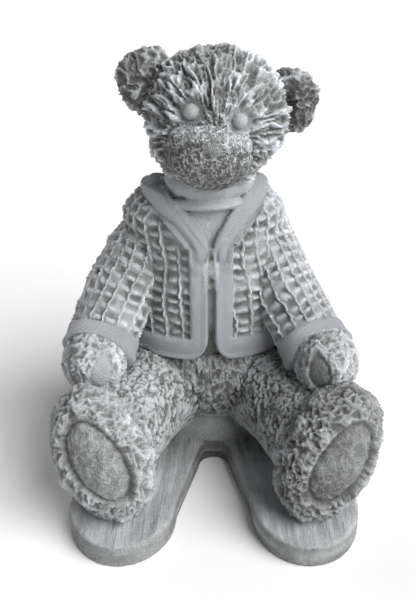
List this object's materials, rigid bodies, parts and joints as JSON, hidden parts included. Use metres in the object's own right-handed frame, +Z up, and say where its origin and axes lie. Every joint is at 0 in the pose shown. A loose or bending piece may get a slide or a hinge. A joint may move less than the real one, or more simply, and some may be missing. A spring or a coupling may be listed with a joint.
{
  "type": "teddy bear statue",
  "caption": "Seated teddy bear garden statue in a knitted cardigan, cast together with the flat board under its splayed legs.",
  "frame": {"origin": "middle of the bounding box seen from above, on the underside of the board", "axes": "+Z up; the bear faces -Y, and its own right side is at -X"},
  "size_m": [0.2718, 0.254, 0.3722],
  "materials": {
    "cast_stone": "dry, matt, lighter on the ridges of the carving"
  },
  "bodies": {
    "root": {"teddy_bear_statue": "cast_stone"}
  },
  "joints": []
}
